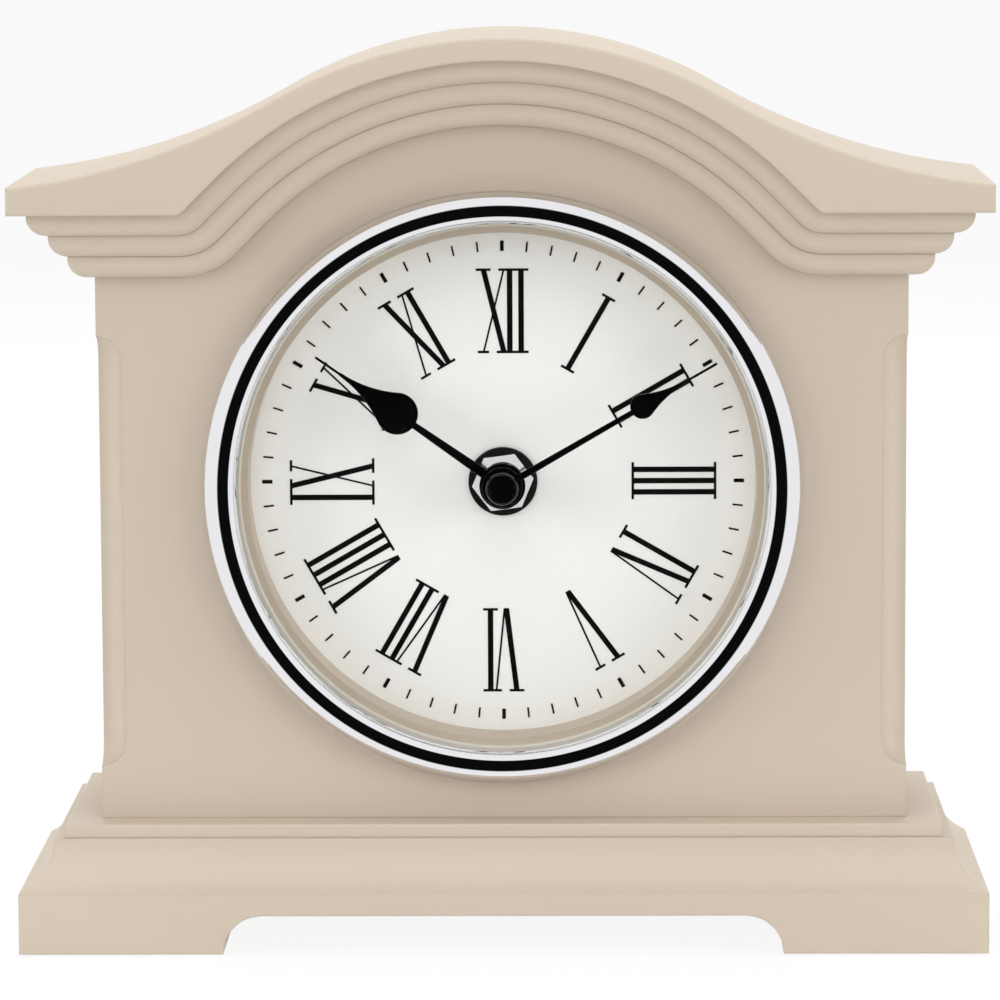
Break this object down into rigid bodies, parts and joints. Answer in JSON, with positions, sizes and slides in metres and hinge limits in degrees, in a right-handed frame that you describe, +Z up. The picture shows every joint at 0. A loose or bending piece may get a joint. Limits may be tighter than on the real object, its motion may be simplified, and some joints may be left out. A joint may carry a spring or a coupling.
{
  "type": "mantel clock",
  "caption": "Painted wooden mantel clock with an arched flared top, stepped mouldings, a coved base, a round domed glass, roman dial, hands and a battery movement behind a rear door.",
  "frame": {"origin": "on the table, under the middle of the clock's bounding box", "axes": "+Z up, +X to the right seen from the front, -Y out of the dial towards the viewer"},
  "size_m": [0.195, 0.07, 0.1839],
  "materials": {
    "painted_wood": "satin paint on wood",
    "bare_wood": "sanded, unpainted",
    "back_board": "painted panel",
    "hardboard": "pressed fibre board",
    "pads": "felt-like rubber",
    "screw_steel": "zinc plated",
    "brass_fittings": "polished brass",
    "catch_plastic": "moulded brown plastic",
    "magnet": "pressed ferrite",
    "bezel_metal": "polished",
    "gasket": "soft grey ring",
    "glass": "clear domed glass",
    "dial_enamel": "white lacquered sheet",
    "dial_ink": "black printing ink",
    "washer_rubber": "black washer",
    "nut_chrome": "plated nut and bushing",
    "hand_lacquer": "black lacquered sheet",
    "cap_plastic": "black moulded cap",
    "arbor_metal": "turned brass",
    "gear_plastic": "white acetal",
    "movement_plastic": "black moulded housing",
    "plate_plastic": "moulded plate and bobbin",
    "stator_steel": "stamped sheet",
    "copper_wire": "enamelled copper wire",
    "circuit": "printed board",
    "contact_steel": "nickel plated",
    "battery_jacket": "plain printed jacket",
    "button_plastic": "moulded buttons"
  },
  "bodies": {
    "case": {"crown_board": "painted_wood", "moulding_upper": "painted_wood", "moulding_middle": "painted_wood", "moulding_lower": "painted_wood", "arch_frame": "painted_wood", "front_board": "painted_wood", "right_side_board": "painted_wood", "left_side_board": "painted_wood", "corner_blocks": "bare_wood", "plinth_base": "painted_wood", "plinth_slab": "painted_wood", "foot_pads": "pads", "plinth_screws": "screw_steel", "back_panel": "back_board", "panel_screws": "brass_fittings", "hinge_leaves_panel": "brass_fittings", "hinge_pins": "brass_fittings", "catch_holder": "catch_plastic", "catch_magnet": "magnet", "catch_screw": "screw_steel", "bezel_ring": "bezel_metal", "glass_gasket": "gasket", "glass_lens": "glass", "dial_plate": "dial_enamel", "dial_backing_board": "hardboard", "backing_screws": "screw_steel", "minute_marks": "dial_ink", "hour_numerals": "dial_ink", "dial_washer": "washer_rubber", "hex_nut": "nut_chrome", "threaded_bushing": "nut_chrome", "movement_front_cover": "movement_plastic", "movement_housing": "movement_plastic", "movement_plate": "plate_plastic", "movement_posts": "plate_plastic", "stator": "stator_steel", "coil_bobbin": "plate_plastic", "coil_winding": "copper_wire", "circuit_board": "circuit", "circuit_parts": "circuit", "ferrite_rod": "magnet", "antenna_coil": "copper_wire", "battery_contacts": "contact_steel"},
    "door": {"rear_door": "back_board", "door_knob": "brass_fittings", "strike_plate": "screw_steel", "hinge_leaves_door": "brass_fittings"},
    "minute_train": {"minute_hand": "hand_lacquer", "hand_cap": "cap_plastic", "minute_arbor": "arbor_metal", "minute_wheel": "gear_plastic"},
    "hour_train": {"hour_hand": "hand_lacquer", "hour_wheel": "gear_plastic"},
    "minute_work": {"minute_work_wheel": "gear_plastic"},
    "intermediate": {"intermediate_wheel": "gear_plastic"},
    "rotor": {"rotor_pinion": "gear_plastic", "rotor_magnet": "magnet"},
    "battery_cell": {"battery": "battery_jacket"},
    "set_key": {"set_button": "button_plastic"},
    "search_key": {"search_button": "button_plastic"}
  },
  "joints": [
    {"name": "minute_turn", "type": "hinge", "parent": "case", "child": "minute_train", "pos_m": [0, -0.019, 0.0932], "axis": [0, 1, 0], "continuous": true},
    {"name": "hour_turn", "type": "hinge", "parent": "case", "child": "hour_train", "pos_m": [0, -0.0171, 0.0932], "axis": [0, 1, 0], "continuous": true},
    {"name": "minute_work_turn", "type": "hinge", "parent": "case", "child": "minute_work", "pos_m": [0.012, -0.002, 0.0932], "axis": [0, 1, 0], "continuous": true},
    {"name": "intermediate_turn", "type": "hinge", "parent": "case", "child": "intermediate", "pos_m": [0, 0.001, 0.1044], "axis": [0, 1, 0], "continuous": true},
    {"name": "rotor_turn", "type": "hinge", "parent": "case", "child": "rotor", "pos_m": [0.00624, 0.003, 0.108], "axis": [0, 1, 0], "continuous": true},
    {"name": "door_swing", "type": "hinge", "parent": "case", "child": "door", "pos_m": [-0.04025, 0.0285, 0.0925], "axis": [0, 0, 1], "range_deg": [0, 110]},
    {"name": "battery_slide", "type": "slide", "parent": "case", "child": "battery_cell", "axis": [0, 1, 0], "range_m": [0, 0.012]},
    {"name": "set_press", "type": "slide", "parent": "case", "child": "set_key", "axis": [0, -1, 0], "range_m": [0, 0.0008], "stiffness_N_per_m": 150, "springref_m": -0.001},
    {"name": "search_press", "type": "slide", "parent": "case", "child": "search_key", "axis": [0, -1, 0], "range_m": [0, 0.0008], "stiffness_N_per_m": 150, "springref_m": -0.001}
  ],
  "couplings": [
    {"joint": "hour_turn", "follows": "minute_turn", "ratio": 0.083333},
    {"joint": "minute_work_turn", "follows": "minute_turn", "ratio": -0.33333},
    {"joint": "intermediate_turn", "follows": "minute_turn", "ratio": -6},
    {"joint": "rotor_turn", "follows": "minute_turn", "ratio": 30}
  ]
}
